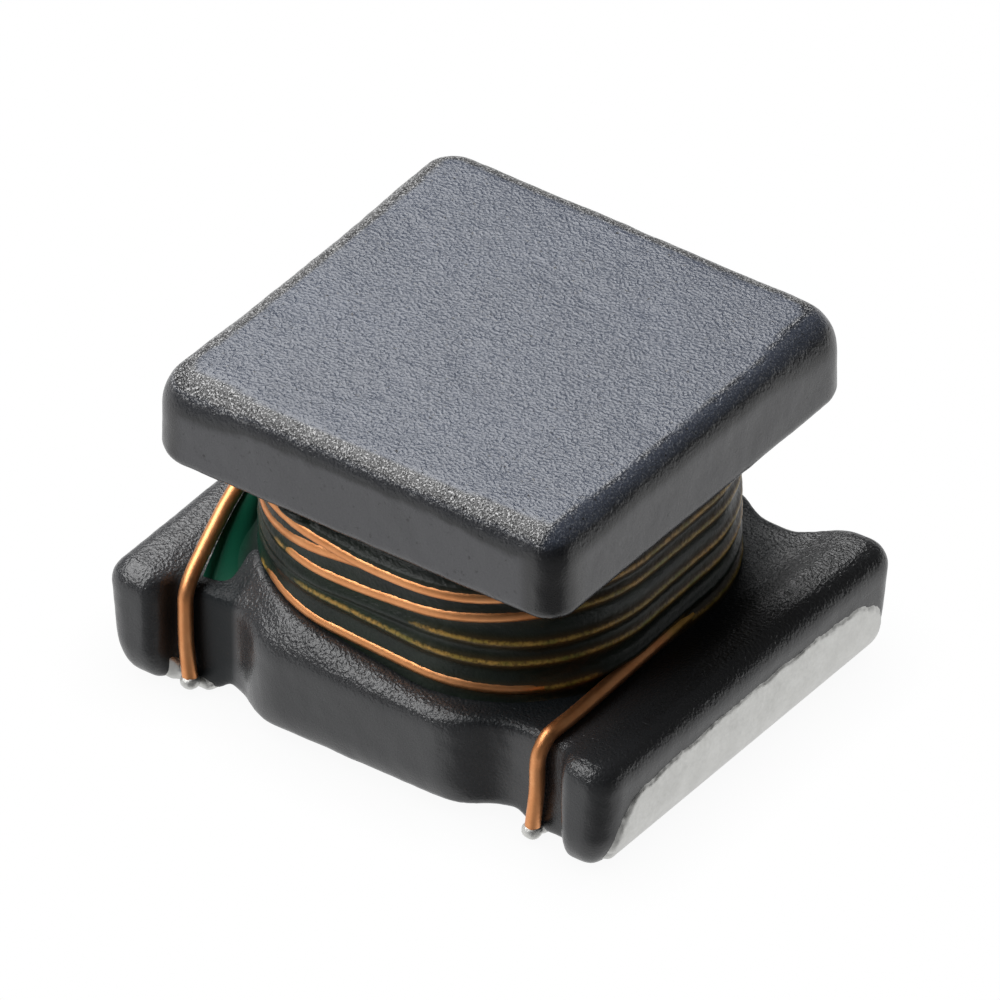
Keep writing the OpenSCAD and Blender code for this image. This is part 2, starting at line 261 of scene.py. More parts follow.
def plate_field(p):
    side = plate_side(p)
    # the left edge is a little hollow
    hollow = 0.017 * np.exp(-(p[:, 1] / 0.7) ** 4) * ease(p[:, 2], plate_under, plate_top)
    side = side + np.where(p[:, 0] < 0, hollow, 0)
    at_corner = ease(np.minimum(np.abs(p[:, 0]), np.abs(p[:, 1])), 0.5, 0.95)
    at_corner = at_corner * (1 - 0.55 * ease(p[:, 0] - p[:, 1], 0.9, 1.6))
    worn = np.maximum(at_corner, ease(p[:, 1] - p[:, 0], -0.3, 0.3))
    wide, drop = (a + (b - a) * worn for a, b in zip(plate_round, plate_corner_round))
    upper = rounded_edge(side, p[:, 2] - plate_top, wide, drop)
    lower = rounded_edge(side, plate_under - p[:, 2], plate_under_round, plate_under_round)
    return np.maximum(upper, lower)


def post_field(p):
    side = box_plan(p[:, 0], p[:, 1], turn_half - wire_r - post_gap, turn_half - wire_r - post_gap,
                    turn_corner - wire_r - post_gap)
    return np.maximum(side, np.maximum(p[:, 2] - plate_under - 0.05, 0.3 - p[:, 2]))


def notch_field(p):
    """Positive inside the four notches, so that it can be taken away."""
    x, y = np.abs(p[:, 0]), np.abs(p[:, 1])
    wall = notch_y - y
    slope = (half_w - notch_y) / (notch_inner - lobe_half)
    inner = (notch_inner - x - (y - notch_y) / slope) * slope / math.hypot(1, slope)
    flare = np.where(p[:, 1] < 0, notch_flare, notch_back_flare)
    outer = x - notch_outer - notch_flare + (half_w - y) * flare / notch_depth
    return -smooth_max(smooth_max(wall, inner, 0.06), outer, 0.04)


def outside_turns(p):
    return box_plan(p[:, 0], p[:, 1], turn_half + wire_r, turn_half + wire_r, turn_corner + wire_r)


def top_level(p):
    x = np.abs(p[:, 0])
    skirt = skirt_height * ease(-p[:, 0], -0.45, 0.7) * ease(-p[:, 1], 0.5, 0.8)
    skirt = skirt * np.exp(-(np.maximum(outside_turns(p), 0) / skirt_width) ** 2)
    return deck + skirt + (rim - deck) * ease(x, half_l - rim_reach - 0.12, half_l - rim_reach + 0.1)


def flange_field(p, grow=0.0):
    x, y, z = p[:, 0], p[:, 1], p[:, 2]
    length = half_l - end_draft * np.maximum(rim - rim_round - z, 0)
    side = box_plan(x, y, length, half_w, 0.15)
    rise = recess_rise[0] + (recess_rise[1] - recess_rise[0]) * ease(np.abs(y), 0.92, 1.07)
    rise = rise * (1 - ease(np.abs(x), recess[0] - 0.02, recess[1] + 0.02))
    to_end = ease((np.abs(x) - half_l) - (np.abs(y) - half_w), -0.08, 0.08)
    lower = rounded_edge(side, foot_z - z, side_under + (end_under - side_under) * to_end, under_high)
    lower = smooth_max(lower, foot_z + rise - z, 0.02)
    upper = rounded_edge(side, z - top_level(p), rim_round, rim_round)
    return smooth_max(np.maximum(upper, lower), notch_field(p), 0.07) - grow


def core_field(p):
    body = smooth_min(flange_field(p), post_field(p), 0.06)
    body = np.minimum(body, plate_field(p))
    return body + 0.0022 * waves(p, 9.0, 3) + 0.0012 * waves(p, 34.0, 5, 2)


verts, quads = skin(core_field, core_low, core_high, core_cell)
verts = np.clip(verts, core_low, core_high)
# Where each look of the ferrite lies: leather on upward faces, painted glints on the lit part of the plate's upper
# rounding, dark where varnish soaks in beside the turns, painted shade on the right deck, the right end and in the left
# notch, and painted shade at the plate's upright corners.
facing = slope_of(core_field, verts)
facing /= np.linalg.norm(facing, axis=1)[:, None]
base = ease(-verts[:, 2], 0.1 - plate_under, 0.2 - plate_under)
leather = ease(facing[:, 2], 0.0, 0.7)
# Painted glints go on the plate's upper rounding, not on faces turned towards +X, away from the lamp.
edge = ease(facing[:, 2], 0.42, 0.66) * ease(-facing[:, 2], -0.995, -0.97) * (1 - base)
edge *= 1 - 0.8 * ease(facing[:, 0], 0.15, 0.45)
from_turns = outside_turns(verts)
# Painted shade in the left notch.
left_notch_shade = ease(-verts[:, 0], 0.80, 0.86) * ease(verts[:, 0], -1.24, -1.2) * ease(-verts[:, 1], 0.85, 1.0)
# Dark with varnish right at the turns, and further out on the right deck, where it is also painted shade under the
# plate.
by_turns = np.maximum(ease(-from_turns, -0.38, -0.04) * ease(verts[:, 0], 0.3, 0.8), ease(-from_turns, -0.02, 0.0))
soaked_and_shaded = np.maximum(by_turns * leather, 0.95 * left_notch_shade)
# Painted shade on the right end.
soaked_and_shaded = np.maximum(soaked_and_shaded, 0.2 * ease(verts[:, 0], 1.15, 1.4)) * base
# Painted shade down the plate's upright corners.
corner = ease(np.minimum(np.abs(verts[:, 0]), np.abs(verts[:, 1])), 1.0, 1.08) * (1 - leather) * (1 - base)
masks = {"edge": edge, "base": base, "leather": leather, "soaked_and_shaded": soaked_and_shaded, "corner": corner}
core_body = mesh_object("core_body", verts, quads, masks)


# ---------------------------------------------------------------- winding
straight = turn_half - turn_corner
bend = turn_corner * math.pi / 2
side_len = 2 * straight + bend


def side_point(t):
    d = t * side_len
    if d < straight:
        return -turn_half, d, 180.0
    if d > straight + bend:
        return d - straight - bend - straight, turn_half, 90.0
    a = 180 - (d - straight) / bend * 90
    r = math.radians(a)
    return -straight + turn_corner * math.cos(r), straight + turn_corner * math.sin(r), a


def level(s):
    return last_z + turn_pitch * (last_turn - s)


# How far the hand-laid turns wander from the even rise: (turn, height).
wander = (
    (0.5, 0), (0.64, -0.024), (0.75, -0.046), (0.80, 0.018), (0.84, 0.05), (0.92, 0.04), (1.0, 0),
    (1.70, 0), (1.80, -0.027), (1.84, -0.05), (1.90, -0.065), (2.0, -0.05), (2.15, 0),
    (2.55, 0.02), (2.62, 0.022), (2.66, 0), (2.71, -0.037), (2.765, -0.06), (2.81, -0.042), (2.88, -0.01), (3.0, 0),
    (3.5, -0.02), (3.63, -0.038), (3.70, -0.004), (3.8, -0.012), (4.0, 0),
    (4.5, -0.02), (4.65, -0.032), (4.71, 0), (4.76, 0.03), (4.81, 0.055), (4.9, 0.05), (5.1, 0),
    (5.5, -0.03), (5.63, -0.078), (5.67, -0.06), (5.74, -0.026), (5.81, 0.01), (5.85, 0.06), (5.92, 0.06), (6.1, 0),
    (7, 0))
wander_s = np.linspace(0, 7, 1401)
wander_z = np.interp(wander_s, [a for a, _ in wander], [b for _, b in wander])
blur = np.exp(-(np.arange(-12, 13) / 5.0) ** 2)
wander_z = np.convolve(np.pad(wander_z, 12, "edge"), blur / blur.sum(), "valid")


def wire_z(s):
    inner = (level(s) + 0.075 * (1 - ease(s, 1, 1.3))
             - cross_dip * (ease(s, 1.7, 1.9) - ease(s, 2.05, 2.35))
             - 0.3 * cross_dip * (ease(s, 2.7, 2.9) - ease(s, 3.05, 3.3)))
    outer = outer_turn_z + 0.045 + 0.04 * ease(s, 0.04, 0.4) - 0.085 * ease(s, 0.45, 0.7)
    t = ease(s, 0.8, 1)
    return outer * (1 - t) + inner * t + np.interp(s, wander_s, wander_z)


def wire_step(s):
    return outer_step * (1 - ease(s, 0.18, 0.4) + ease(s, 0.52, 0.68) - ease(s, 0.8, 1))


def round_point(s, out=0.0):
    k = math.floor(s * 4 + 1e-9)
    x, y, a = side_point(s * 4 - k)
    turn = math.radians(-90 * k)
    n = math.radians(a - 90 * k)
    c, d = math.cos(turn), math.sin(turn)
    outward = np.array([math.cos(n), math.sin(n)])
    return np.array([x * c - y * d + out * math.cos(n), x * d + y * c + out * math.sin(n)]), outward


def coil_point(s):
    xy, n = round_point(s, wire_step(s))
    return np.array([xy[0], xy[1], wire_z(s)])


def curve_through(points, steps):
    """Smooth curve through all points but the first and last, which only set its ends' directions."""
    out = []
    pts = [np.array(p, float) for p in points]
    for i in range(1, len(pts) - 2):
        a, b, c, d = pts[i - 1:i + 3]
        for j in range(steps):
            t = j / steps
            square, cube = 2 * a - 5 * b + 4 * c - d, 3 * b - a - 3 * c + d
            out.append(0.5 * (2 * b + (c - a) * t + square * t * t + cube * t ** 3))
    out.append(pts[-2])
    return out


first_s, last_s = 0.04, last_turn     # in turns, counted from the middle of the left side
left_x = turn_half + outer_step + 0.012
left_top, right_end = coil_point(first_s), coil_point(last_s)
left_points = [
    (-turn_half - outer_step, 0.5, left_top[2] - 0.005), left_top,
    (-left_x, 0, 1.25), (-left_x, -0.33, 1.085), (-left_x, -0.66, 0.915),
    (-left_x + 0.012, -0.82, 0.82), (-left_x + 0.028, -0.96, deck + 0.115),
    (-lead_left_at - 0.008, -notch_y + 0.01, deck + 0.05),
    (-lead_left_at, -lead_y + 0.006, deck - 0.025), (-lead_left_at, -lead_y, deck - 0.12),
    (-lead_left_at + 0.004, -lead_y, 0.3), (-lead_left_at + 0.026, -lead_y, 0.09),
    (-lead_left_at + 0.035, -lead_y, 0)]
right_points = [
    (turn_half, 0.5, right_end[2] + 0.003), right_end,
    (turn_half + 0.018, -0.3, last_z), (turn_half + 0.032, -0.8, last_z), (turn_half + 0.03, -0.985, last_z),
    (lead_right_at + 0.028, -notch_y, deck + 0.022), (lead_right_at + 0.013, -lead_y + 0.004, deck - 0.05),
    (lead_right_at, -lead_y, deck - 0.14), (lead_right_at - 0.004, -lead_y, 0.32),
    (lead_right_at - 0.03, -lead_y, 0.085), (lead_right_at - 0.038, -lead_y, 0)]
coil_s = np.linspace(first_s, last_s, 620)
left_lead = curve_through(left_points, 10)
right_lead = curve_through(right_points, 10)
path = np.array(left_lead[::-1][:-1] + [coil_point(s) for s in coil_s] + right_lead[1:])
path_s = np.concatenate([np.full(len(left_lead) - 1, -1.0), coil_s, np.full(len(right_lead) - 1, 9.0)])


# Per turn: where, as a share of the turn, the bare stretch begins and where it goes under the varnish. 9 is never.
bare_from = (0.60, 0.60, 0.63, 9, 9, 0.635, 0.0)
under_at = (9, 9, 0.833, 0.712, 0.815, 0.862, 9)
turn_join = 0.1                       # share of a turn over which it takes over from the turn before


def showing(s):
    """How much of the wire shows at s: 1 bare crest, 0.5 a thin line, 0 under the varnish."""
    if s < 0 or s >= 7:
        return 1.0
    k = int(s)
    f = s - k
    bare = float(ease(f, bare_from[k] - 0.035, bare_from[k] + 0.01))
    gone = float(ease(f, under_at[k] - 0.02, under_at[k] + 0.02))
    if k == 6:
        bare *= 1 - float(ease(f, 0.24, 0.30))
    if k == 5:
        gone = max(gone, float(ease(-f, -0.595, -0.57)))
    before = 1.0 if k == 0 or under_at[k - 1] > 1 else 0.0
    joined = float(ease(f, 0, turn_join))
    return (0.5 + 0.5 * bare) * (1 - gone) * joined + before * (1 - joined)


def sweep(name, line, radius, sides, cover):
    """A closed round bar along a line, its frame carried on without twist."""
    line = np.asarray(line)
    n = len(line)
    t = np.gradient(line, axis=0)
    t /= np.linalg.norm(t, axis=1)[:, None]
    u = np.cross(t[0], [0.3, 0.2, 1.0])
    u /= np.linalg.norm(u)
    rings = []
    for i in range(n):
        u = u - (u @ t[i]) * t[i]
        u /= np.linalg.norm(u)
        w = np.cross(t[i], u)
        a = np.linspace(0, 2 * math.pi, sides, endpoint=False)[:, None]
        rings.append(line[i] + radius * (np.cos(a) * u + np.sin(a) * w))
    verts = np.concatenate(rings)
    faces = [tuple(int(x) for x in q) for q in grid_faces(n, sides, wrap=True)]
    faces.append(tuple(range(sides))[::-1])
    faces.append(tuple(range((n - 1) * sides, n * sides)))
    return mesh_object(name, verts, faces, {"cover": np.repeat(cover, sides)})


cover = np.array([1 - float(ease(showing(s), 0.5, 1.0)) for s in path_s])
# The right lead comes out from under the resin at the middle of its side.
cover = np.where(path_s > 7, 0.8 * ease(path[:, 1], -0.16, -0.04), cover)
wire = sweep("wire", path, wire_r, wire_sides, cover)

# ---------------------------------------------------------------- varnish round the post
rows, cols = 120, 420
sleeve_out, crest_out = 0.022, 0.045   # how far the resin stands off the wire's middle line: between turns, on a turn
held_end = 0.06                       # the resin follows the last turn this much further, and lets go of it
zs = np.linspace(deck - 0.02, plate_under + 0.01, rows)
sleeve, line, glow = np.empty((rows, cols, 3)), np.empty((rows, cols)), np.empty((rows, cols))
for j in range(cols):
    f = j / cols
    xy, n = round_point(f)
    turns = [k + f for k in range(7) if first_s <= k + f <= last_s + held_end]
    out = np.full(rows, sleeve_out)
    gold, halo = np.zeros(rows), np.zeros(rows)
    for s in turns:
        z, show = float(wire_z(s)), showing(s)
        bare = float(ease(show, 0.5, 1))
        crest = crest_out - 0.0165 * bare + 0.15 * bare * (zs - z)
        held = 1 - float(ease(s, last_s + 0.01, last_s + held_end))
        near = np.exp(-((zs - z) / 0.036) ** 2) * held
        out = np.maximum(out, sleeve_out + near * (crest - sleeve_out))
        thin = float(ease(show, 0, 0.5))
        # gold: a painted highlight line along the crest of each thinly varnished turn; halo: a broader band round it.
        gold = np.maximum(gold, np.exp(-((zs - z - 0.006) / 0.012) ** 2) * thin * (1 - bare) * held)
        halo = np.maximum(halo, np.exp(-((zs - z) / 0.03) ** 2) * thin)
    line[:, j], glow[:, j] = gold, halo
    step = max(float(wire_step(f)), outer_step * float(ease(f, 0.94, 1.0)))
    z = float(wire_z(max(f, first_s)))
    out += step * ease(zs, z - 0.075, z - 0.02)
    above = max(float(wire_z(s)) for s in turns) + 0.04
    out -= 0.05 * ease(zs, above, above + 0.06)
    out += 0.015 * np.exp(-((zs - deck) / 0.035))
    sleeve[:, j, 0] = xy[0] + out * n[0]
    sleeve[:, j, 1] = xy[1] + out * n[1]
    sleeve[:, j, 2] = zs
flat = sleeve.reshape(-1, 3)
outward = flat[:, :2] / np.linalg.norm(flat[:, :2], axis=1)[:, None]
lumps = 0.035 * ease(flat[:, 2], 1.34, 1.40) * ease(waves(flat, 14.0, 15), 0.0, 0.8) * (flat[:, 1] < -0.8)
bump = 0.0013 * waves(flat, 24.0, 11) + 0.0013 * waves(flat, 90.0, 12, 2) + lumps
flat[:, :2] += outward * bump[:, None]
green_tint = ease(-flat[:, 0], 0.62, 0.95) * ease(-flat[:, 1], 0.1, 0.5)
tints = {"green_tint": green_tint, "line": line.ravel(), "glow": glow.ravel(), "warm": ease(flat[:, 0], 0.0, 0.9)}
varnish = mesh_object("varnish_sleeve", flat, grid_faces(rows, cols, wrap=True), tints)

# Web of varnish: from a ridge beside the left lead it falls to the winding's corner, and on its outer side to its root.
web_rows, web_cols = 30, 22
ridge_y = np.linspace(-0.985, -0.40, web_rows)
ridge_z = np.interp(ridge_y, (-0.985, -0.8, -0.66, -0.5, -0.40), (deck + 0.008, 0.785, 0.874, 0.960, 1.011))
corner_at, web_bend = -(turn_half - turn_corner), turn_corner + 0.02
web_outer = 0.25                      # share of the width that is the outer side
web_verts = np.empty((web_rows, web_cols, 3))
for i, (y, z) in enumerate(zip(ridge_y, ridge_z)):
    t = i / (web_rows - 1)
    a = math.radians(232 - 38 * t)
    foot = np.array([corner_at + web_bend * math.cos(a), corner_at + web_bend * math.sin(a), deck + 0.30 * t])
    ridge = np.array([-left_x + wire_r * (0.5 + 0.4 * (1 - t) ** 4), y, z])
    root = np.array([foot[0], foot[1], deck - 0.01 + (foot[2] - deck + 0.01) * ease(t, 0.25, 1)])
    for j in range(web_cols):
        v = j / (web_cols - 1)
        if v < web_outer:
            q = v / web_outer
            web_verts[i, j] = root * (1 - q) + ridge * q + np.array([0, 0, 0.10 * math.sin(math.pi * q) * t])
        else:
            q = (v - web_outer) / (1 - web_outer)
            web_verts[i, j] = ridge * (1 - q) + foot * q + np.array([0, 0, -0.03 * math.sin(math.pi * q) * (0.3 + t)])
across = np.arange(web_cols) / (web_cols - 1)
# Green of the resin, painted brightest by the ridge as its light and darker towards the winding's foot as shade.
web_lit_green = ease(-across, -0.85, -0.32) * ease(across, 0.0, 0.25)
web = mesh_object("varnish_web", web_verts.reshape(-1, 3), grid_faces(web_rows, web_cols),
                  {"green_tint": np.tile(web_lit_green, web_rows)})

# ---------------------------------------------------------------- terminals and solder

def terminal_field(p, notch_span):
    """A thin coat on the flange that feathers out at its ragged edge.

    notch_span gives the middle and half width of the strip in the front notch; behind, the strip keeps foot_span.
    """
    y, z = p[:, 1], p[:, 2]
    ragged = 0.010 * waves(p, 24.0, 21) + 0.006 * waves(p, 80.0, 22, 2)
    half = metal_half - 0.1 * (1 - ease(z, 0.03, 0.10))
    swell = metal_swell * np.maximum(1 - (y / 1.02) ** 2, 0)
    patch = box_plan(y, z - swell + 1.0, half, metal_height + 1.0, metal_corner) + ragged
    patch = np.maximum(patch, notch_outer + 0.03 - np.abs(p[:, 0]))
    smear = 0.09 * np.exp(-((np.abs(p[:, 0]) - 1.19) / 0.045) ** 2)
    in_front = ease(-y, 0.9, 1.0)
    middle, reach = (a + (b - a) * in_front for a, b in zip(foot_span, notch_span))
    in_notch = np.maximum(z - 0.075 - smear - ragged, np.abs(np.abs(p[:, 0]) - middle) - reach)
    patch = np.minimum(patch, np.maximum(in_notch, np.abs(y) - metal_half + 0.01))
    patch = patch - metal_spread
    sheet = flange_field(p) + metal_sink - (metal_thick + metal_sink) * ease(-patch, 0.0, metal_feather)
    hollow = -flange_field(p, -metal_inner)
    return np.maximum(np.maximum(np.maximum(sheet, -z), patch), hollow)


terminals = []
for side_name, notch_span in (("left", foot_span), ("right", right_notch_span)):
    low, high = span("terminal_" + side_name)
    high = high + np.array([0, 0, metal_swell + 0.02])
    verts, quads = skin(lambda p: terminal_field(p, notch_span), low, high, metal_cell)
    verts = np.clip(verts, low, high)
    terminals.append(mesh_object("terminal_metal_" + side_name, verts, quads))
    terminals[-1].data.set_sharp_from_angle(angle=math.radians(38))

beads = []
for side_name, tip in (("left", left_lead[-1]), ("right", right_lead[-1])):
    low, high = span("solder_" + side_name)

    def bead_field(p, tip=tip):
        q = p - (tip + [0, -0.002, -0.008])
        ball = np.sqrt((q[:, 0] / 1.05) ** 2 + q[:, 1] ** 2 + (q[:, 2] / 0.9) ** 2) - 0.05
        return ball + 0.004 * waves(p, 40.0, 31)

    verts, quads = skin(bead_field, low, high, bead_cell)
    beads.append(mesh_object("solder_bead_" + side_name, verts, quads))


# ---------------------------------------------------------------- materials
def new_material(name):
    mat = bpy.data.materials.new(name)
    mat.use_nodes = True
    tree = mat.node_tree
    tree.nodes.clear()
    out = tree.nodes.new("ShaderNodeOutputMaterial")
    bsdf = tree.nodes.new("ShaderNodeBsdfPrincipled")
    tree.links.new(bsdf.outputs[0], out.inputs[0])
    where = tree.nodes.new("ShaderNodeTexCoord")
    scale = tree.nodes.new("ShaderNodeMapping")
    scale.inputs["Scale"].default_value = (1 / MM,) * 3
    tree.links.new(where.outputs["Object"], scale.inputs["Vector"])
    return mat, tree, bsdf, scale.outputs["Vector"]


def noise_node(tree, vector, scale, detail=4, rough=0.55, distortion=0.0):
    n = tree.nodes.new("ShaderNodeTexNoise")
    n.inputs["Scale"].default_value = scale
    n.inputs["Detail"].default_value = detail
    n.inputs["Roughness"].default_value = rough
    n.inputs["Distortion"].default_value = distortion
    tree.links.new(vector, n.inputs["Vector"])
    return n.outputs["Fac"]


def ramp_node(tree, value, stops):
    n = tree.nodes.new("ShaderNodeValToRGB")
    ramp = n.color_ramp
    while len(ramp.elements) < len(stops):
        ramp.elements.new(0.5)
    for element, (at, colour) in zip(ramp.elements, stops):
        element.position = at
        element.color = (*colour, 1) if len(colour) == 3 else colour
    tree.links.new(value, n.inputs["Fac"])
    return n.outputs["Color"]


def mix_input(node, name):
    return [s for s in node.inputs if s.name == name and s.type == "RGBA"][0]


def colour_mix(tree, factor, a, b, blend="MIX"):
    n = tree.nodes.new("ShaderNodeMix")
    n.data_type = "RGBA"
    n.blend_type = blend
    fac = [s for s in n.inputs if s.name == "Factor" and s.type == "VALUE"][0]
    pairs = ((fac, factor), (mix_input(n, "A"), a), (mix_input(n, "B"), b))
    for socket, value in pairs:
        if isinstance(value, bpy.types.NodeSocket):
            tree.links.new(value, socket)
        elif isinstance(value, (int, float)):
            socket.default_value = value
        else:
            socket.default_value = (*value, 1)
    return [s for s in n.outputs if s.type == "RGBA"][0]


def math_node(tree, kind, a, b):
    """MULTIPLY_ADD here gives a * b + 1, a gain that starts at 1."""
    n = tree.nodes.new("ShaderNodeMath")
    n.operation = kind
    n.inputs[2].default_value = 1
    for socket, value in ((n.inputs[0], a), (n.inputs[1], b)):
        if isinstance(value, bpy.types.NodeSocket):
            tree.links.new(value, socket)
        else:
            socket.default_value = value
    return n.outputs[0]


def attribute_node(tree, name):
    n = tree.nodes.new("ShaderNodeAttribute")
    n.attribute_name = name
    return n.outputs["Fac"]


def bump_node(tree, height, depth, strength=1.0, below=None):
    """depth is the height, in millimetres, that a texture value of 1 stands for."""
    n = tree.nodes.new("ShaderNodeBump")
    n.inputs["Strength"].default_value = strength
    n.inputs["Distance"].default_value = depth * MM
    tree.links.new(height, n.inputs["Height"])
    if below is not None:
        tree.links.new(below, n.inputs["Normal"])
    return n.outputs["Normal"]


def ferrite():
    mat, tree, bsdf, at = new_material("ferrite")
    edge, base, leather, soaked_and_shaded, corner = (attribute_node(tree, name)
                                           for name in ("edge", "base", "leather", "soaked_and_shaded", "corner"))
    large = noise_node(tree, at, 1.6, 3)
    pebble = noise_node(tree, at, 62.0, 1, 0.4)
    dimple = ramp_node(tree, noise_node(tree, at, 36.0, 1, 0.5), [(0.32, (0, 0, 0)), (0.42, (1, 1, 1))])
    wrinkle = noise_node(tree, at, 58.0, 2, 0.5)
    grain = noise_node(tree, at, 110.0, 1, 0.5)
    pits = ramp_node(tree, noise_node(tree, at, 38.0, 2, 0.5), [(0.27, (0, 0, 0)), (0.33, (1, 1, 1))])
    slow = ramp_node(tree, large, [(0.3, (0.92,) * 3), (0.7, (1.08,) * 3)])
    # Colour of the plate by how it faces: sides, a painted shade band across the upper rounding, and the top.
    facing_shade = ramp_node(tree, leather, [(0.03, (0.072, 0.073, 0.080)), (0.2, (0.020, 0.021, 0.023)),
                                      (0.8, (0.024, 0.026, 0.032)), (0.97, (0.069, 0.081, 0.112))])
    low = ramp_node(tree, large, [(0.3, (0.030, 0.031, 0.034)), (0.7, (0.043, 0.044, 0.047))])
    colour = colour_mix(tree, base, colour_mix(tree, 1.0, facing_shade, slow, "MULTIPLY"), low)
    # Painted glints: bright specks of grain on the plate's upper rounding.
    painted_glints = ramp_node(tree, grain, [(0.44, (0.006, 0.006, 0.007)), (0.55, (0.022, 0.023, 0.026)),
                                   (0.65, (0.50, 0.50, 0.50))])
    # Painted shade at the plate's upright corners.
    colour = colour_mix(tree, corner, colour, (0.018, 0.018, 0.020))
    colour = colour_mix(tree, edge, colour, painted_glints)
    # Dark where varnish soaks in, plus painted shade in the left notch, on the right deck and on the right end.
    colour = colour_mix(tree, soaked_and_shaded, colour, (0.014, 0.017, 0.019))
    colour = colour_mix(tree, pits, (0.022, 0.022, 0.025), colour)
    tree.links.new(colour, bsdf.inputs["Base Color"])
    rough = ramp_node(tree, pebble, [(0.3, (0.31,) * 3), (0.7, (0.23,) * 3)])
    tree.links.new(colour_mix(tree, soaked_and_shaded, rough, (0.42,) * 3), bsdf.inputs["Roughness"])
    tree.links.new(ramp_node(tree, soaked_and_shaded, [(0, (0.62,) * 3), (1, (0.16,) * 3)]), bsdf.inputs["Specular IOR Level"])
    wrinkled = math_node(tree, "MULTIPLY", wrinkle, math_node(tree, "MULTIPLY", base, leather))
    pebbled = math_node(tree, "MULTIPLY", pebble, math_node(tree, "MULTIPLY_ADD", leather, 3.0))
    dimpled = math_node(tree, "MULTIPLY", dimple, leather)
    speckled = math_node(tree, "MULTIPLY", grain, math_node(tree, "MULTIPLY_ADD", edge, 5.0))
    n1 = bump_node(tree, wrinkled, 0.0043, 1.0)
    n2 = bump_node(tree, pebbled, 0.0008, 1.0, n1)
    n3 = bump_node(tree, dimpled, 0.0016, 1.0, n2)
    n4 = bump_node(tree, speckled, 0.0007, 1.0, n3)
    tree.links.new(n4, bsdf.inputs["Normal"])
    return mat


def copper():
    mat, tree, bsdf, at = new_material("copper_wire")
    cover = attribute_node(tree, "cover")
    streak = noise_node(tree, at, 9.0, 4)
    grain = noise_node(tree, at, 60.0, 3)
    bare = ramp_node(tree, streak, [(0.3, (0.78, 0.33, 0.13)), (0.7, (0.90, 0.43, 0.19))])
    gold = ramp_node(tree, streak, [(0.3, (0.22, 0.15, 0.02)), (0.7, (0.50, 0.31, 0.07))])
    tree.links.new(colour_mix(tree, cover, bare, gold), bsdf.inputs["Base Color"])
    bsdf.inputs["Metallic"].default_value = 1.0
    rough = ramp_node(tree, grain, [(0.3, (0.40,) * 3), (0.7, (0.52,) * 3)])
    tree.links.new(rough, bsdf.inputs["Roughness"])
    tree.links.new(bump_node(tree, grain, 0.0012, 0.6), bsdf.inputs["Normal"])
    return mat


def resin(name, dark, light, green, rough, lumps, gloss):
    mat, tree, bsdf, at = new_material(name)
    bsdf.inputs["Specular IOR Level"].default_value = gloss
    green_tint = attribute_node(tree, "green_tint")
    tone = noise_node(tree, at, 6.0, 4)
    plain = ramp_node(tree, tone, [(0.35, dark), (0.7, light)])
    plain = colour_mix(tree, green_tint, plain, green)
    # Brown halo round the painted highlight lines: partly a widened painted highlight, partly the copper seen through
    # thin varnish.
    halo_tint = colour_mix(tree, attribute_node(tree, "warm"), (0.018, 0.034, 0.010), (0.10, 0.052, 0.014))
    plain = colour_mix(tree, attribute_node(tree, "glow"), plain, halo_tint)
    speck = noise_node(tree, at, 60.0, 3)
    broken = ramp_node(tree, noise_node(tree, at, 52.0, 3, 0.6), [(0.36, (0.38,) * 3), (0.6, (1, 1, 1))])
    # Painted highlight: a broken gold line along each thinly varnished turn.
    gold = math_node(tree, "MULTIPLY", attribute_node(tree, "line"), broken)
    shine = ramp_node(tree, gold, [(0.12, (0, 0, 0)), (0.8, (1, 1, 1))])
    painted_gold_line = ramp_node(tree, tone, [(0.35, (0.20, 0.19, 0.035)), (0.62, (0.52, 0.30, 0.07))])
    tree.links.new(colour_mix(tree, shine, plain, painted_gold_line), bsdf.inputs["Base Color"])
    uneven = ramp_node(tree, speck, [(0.3, (rough,) * 3), (0.7, (rough + 0.14,) * 3)])
    tree.links.new(uneven, bsdf.inputs["Roughness"])
    tree.links.new(bump_node(tree, speck, lumps, 0.8), bsdf.inputs["Normal"])
    return mat


def metal(name, dark, light, rough, depth):
    mat, tree, bsdf, at = new_material(name)
    tone = noise_node(tree, at, 8.0, 5)
    tree.links.new(ramp_node(tree, tone, [(0.3, dark), (0.7, light)]), bsdf.inputs["Base Color"])
    grain = noise_node(tree, at, 48.0, 5, 0.65)
    uneven = ramp_node(tree, grain, [(0.3, (rough,) * 3), (0.7, (rough + 0.12,) * 3)])
    tree.links.new(uneven, bsdf.inputs["Roughness"])
    bsdf.inputs["Metallic"].default_value = 1.0
    tree.links.new(bump_node(tree, grain, depth, 0.8), bsdf.inputs["Normal"])
    return mat


def dress(obj, mat, slot_name, *nodes):
    obj.data.materials.append(mat)
    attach(obj, "root")
    if nodes:
        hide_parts(*nodes)


dress(core_body, ferrite(), "ferrite", "core")
dress(wire, copper(), "copper_wire", "winding")
dark_resin = resin("varnish_dark", (0.008, 0.013, 0.010), (0.015, 0.024, 0.016), (0.006, 0.034, 0.022),
                   rough=0.30, lumps=0.004, gloss=0.3)
dress(varnish, dark_resin, "varnish", "varnish")
green_resin = resin("varnish_green", (0.006, 0.014, 0.011), (0.010, 0.026, 0.018), (0.005, 0.12, 0.064),
                    rough=0.34, lumps=0.0008, gloss=0.1)
dress(web, green_resin, "varnish")
tin = metal("terminal_metal", (0.64, 0.64, 0.62), (0.72, 0.72, 0.70), 0.42, 0.0014)
for obj, side_name in zip(terminals, ("left", "right")):
    dress(obj, tin, "terminal_metal", "terminal_" + side_name)
bright = metal("solder", (0.70, 0.70, 0.68), (0.84, 0.84, 0.81), 0.52, 0.003)
for obj, side_name in zip(beads, ("left", "right")):
    dress(obj, bright, "solder", "solder_" + side_name)

